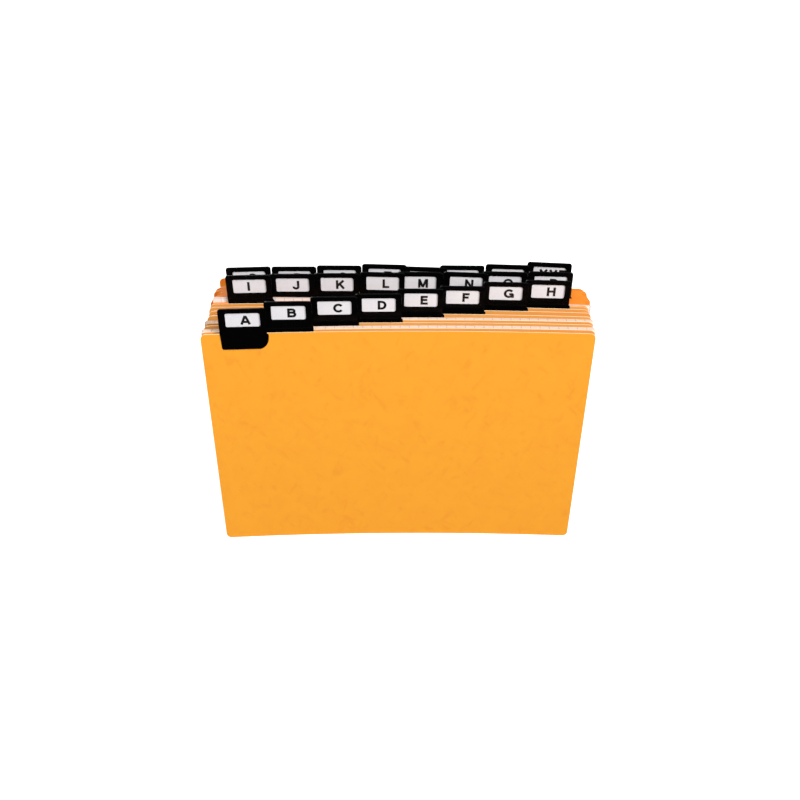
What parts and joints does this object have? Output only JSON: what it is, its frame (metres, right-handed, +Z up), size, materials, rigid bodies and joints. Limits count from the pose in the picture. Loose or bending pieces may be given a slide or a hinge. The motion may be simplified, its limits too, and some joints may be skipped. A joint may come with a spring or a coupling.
{
  "type": "a-z index guide card set",
  "caption": "Loose A-Z set of A5 pressboard index guides with black windowed tabs and ruled record cards, standing on edge as one fanned pack.",
  "frame": {"origin": "on the table under the middle of the pack's bounding box", "axes": "+Z up, +X to the reader's right along the cards' width, cards' fronts facing -Y, guide A in front"},
  "size_m": [0.213, 0.0614, 0.1657],
  "materials": {
    "pressboard": "orange mottled pressboard, lightly calendered",
    "black_plastic": "moulded black, semi-gloss",
    "record_paper": "matte white card, 5 mm squared ruling"
  },
  "bodies": {
    "middle_section": {"record_card_d1": "record_paper", "record_card_d2": "record_paper", "record_card_d3": "record_paper", "record_card_d4": "record_paper", "record_card_d5": "record_paper"},
    "front_section": {"record_card_b1": "record_paper", "record_card_b2": "record_paper", "record_card_b3": "record_paper", "record_card_b4": "record_paper", "record_card_b5": "record_paper"},
    "rear_section": {"record_card_i1": "record_paper", "record_card_i2": "record_paper"},
    "guide_a": {"guide_card_a": "pressboard", "index_tab_a": "black_plastic"},
    "guide_b": {"guide_card_b": "pressboard", "index_tab_b": "black_plastic"},
    "guide_c": {"guide_card_c": "pressboard", "index_tab_c": "black_plastic"},
    "guide_d": {"guide_card_d": "pressboard", "index_tab_d": "black_plastic"},
    "guide_e": {"guide_card_e": "pressboard", "index_tab_e": "black_plastic"},
    "guide_f": {"guide_card_f": "pressboard", "index_tab_f": "black_plastic"},
    "guide_g": {"guide_card_g": "pressboard", "index_tab_g": "black_plastic"},
    "guide_h": {"guide_card_h": "pressboard", "index_tab_h": "black_plastic"},
    "guide_i": {"guide_card_i": "pressboard", "index_tab_i": "black_plastic"},
    "guide_j": {"guide_card_j": "pressboard", "index_tab_j": "black_plastic"},
    "guide_k": {"guide_card_k": "pressboard", "index_tab_k": "black_plastic"},
    "guide_l": {"guide_card_l": "pressboard", "index_tab_l": "black_plastic"},
    "guide_m": {"guide_card_m": "pressboard", "index_tab_m": "black_plastic"},
    "guide_n": {"guide_card_n": "pressboard", "index_tab_n": "black_plastic"},
    "guide_o": {"guide_card_o": "pressboard", "index_tab_o": "black_plastic"},
    "guide_p": {"guide_card_p": "pressboard", "index_tab_p": "black_plastic"},
    "guide_q": {"guide_card_q": "pressboard", "index_tab_q": "black_plastic"},
    "guide_r": {"guide_card_r": "pressboard", "index_tab_r": "black_plastic"},
    "guide_s": {"guide_card_s": "pressboard", "index_tab_s": "black_plastic"},
    "guide_t": {"guide_card_t": "pressboard", "index_tab_t": "black_plastic"},
    "guide_u": {"guide_card_u": "pressboard", "index_tab_u": "black_plastic"},
    "guide_v": {"guide_card_v": "pressboard", "index_tab_v": "black_plastic"},
    "guide_w": {"guide_card_w": "pressboard", "index_tab_w": "black_plastic"},
    "guide_xyz": {"guide_card_xyz": "pressboard", "index_tab_xyz": "black_plastic"}
  },
  "joints": [
    {"name": "front_section_tip", "type": "hinge", "parent": "middle_section", "child": "front_section", "pos_m": [0, -0.02687, 0], "axis": [0.9993, 0.0362, 0], "range_deg": [0, 25]},
    {"name": "rear_section_tip", "type": "hinge", "parent": "middle_section", "child": "rear_section", "pos_m": [0, 0.02983, 0], "axis": [-0.9996, 0.0276, 0], "range_deg": [0, 25]},
    {"name": "guide_a_lift", "type": "slide", "parent": "front_section", "child": "guide_a", "axis": [0, 0, 1], "range_m": [0, 0.17]},
    {"name": "guide_b_lift", "type": "slide", "parent": "front_section", "child": "guide_b", "axis": [0, 0, 1], "range_m": [0, 0.17]},
    {"name": "guide_c_lift", "type": "slide", "parent": "middle_section", "child": "guide_c", "axis": [0, 0, 1], "range_m": [0, 0.17]},
    {"name": "guide_d_lift", "type": "slide", "parent": "middle_section", "child": "guide_d", "axis": [0, 0, 1], "range_m": [0, 0.17]},
    {"name": "guide_e_lift", "type": "slide", "parent": "middle_section", "child": "guide_e", "axis": [0, 0, 1], "range_m": [0, 0.17]},
    {"name": "guide_f_lift", "type": "slide", "parent": "middle_section", "child": "guide_f", "axis": [0, 0, 1], "range_m": [0, 0.17]},
    {"name": "guide_g_lift", "type": "slide", "parent": "middle_section", "child": "guide_g", "axis": [0, 0, 1], "range_m": [0, 0.17]},
    {"name": "guide_h_lift", "type": "slide", "parent": "middle_section", "child": "guide_h", "axis": [0, 0, 1], "range_m": [0, 0.17]},
    {"name": "guide_i_lift", "type": "slide", "parent": "middle_section", "child": "guide_i", "axis": [0, 0, 1], "range_m": [0, 0.17]},
    {"name": "guide_j_lift", "type": "slide", "parent": "rear_section", "child": "guide_j", "axis": [0, 0, 1], "range_m": [0, 0.17]},
    {"name": "guide_k_lift", "type": "slide", "parent": "rear_section", "child": "guide_k", "axis": [0, 0, 1], "range_m": [0, 0.17]},
    {"name": "guide_l_lift", "type": "slide", "parent": "rear_section", "child": "guide_l", "axis": [0, 0, 1], "range_m": [0, 0.17]},
    {"name": "guide_m_lift", "type": "slide", "parent": "rear_section", "child": "guide_m", "axis": [0, 0, 1], "range_m": [0, 0.17]},
    {"name": "guide_n_lift", "type": "slide", "parent": "rear_section", "child": "guide_n", "axis": [0, 0, 1], "range_m": [0, 0.17]},
    {"name": "guide_o_lift", "type": "slide", "parent": "rear_section", "child": "guide_o", "axis": [0, 0, 1], "range_m": [0, 0.17]},
    {"name": "guide_p_lift", "type": "slide", "parent": "rear_section", "child": "guide_p", "axis": [0, 0, 1], "range_m": [0, 0.17]},
    {"name": "guide_q_lift", "type": "slide", "parent": "rear_section", "child": "guide_q", "axis": [0, 0, 1], "range_m": [0, 0.17]},
    {"name": "guide_r_lift", "type": "slide", "parent": "rear_section", "child": "guide_r", "axis": [0, 0, 1], "range_m": [0, 0.17]},
    {"name": "guide_s_lift", "type": "slide", "parent": "rear_section", "child": "guide_s", "axis": [0, 0, 1], "range_m": [0, 0.17]},
    {"name": "guide_t_lift", "type": "slide", "parent": "rear_section", "child": "guide_t", "axis": [0, 0, 1], "range_m": [0, 0.17]},
    {"name": "guide_u_lift", "type": "slide", "parent": "rear_section", "child": "guide_u", "axis": [0, 0, 1], "range_m": [0, 0.17]},
    {"name": "guide_v_lift", "type": "slide", "parent": "rear_section", "child": "guide_v", "axis": [0, 0, 1], "range_m": [0, 0.17]},
    {"name": "guide_w_lift", "type": "slide", "parent": "rear_section", "child": "guide_w", "axis": [0, 0, 1], "range_m": [0, 0.17]},
    {"name": "guide_xyz_lift", "type": "slide", "parent": "rear_section", "child": "guide_xyz", "axis": [0, 0, 1], "range_m": [0, 0.17]}
  ]
}
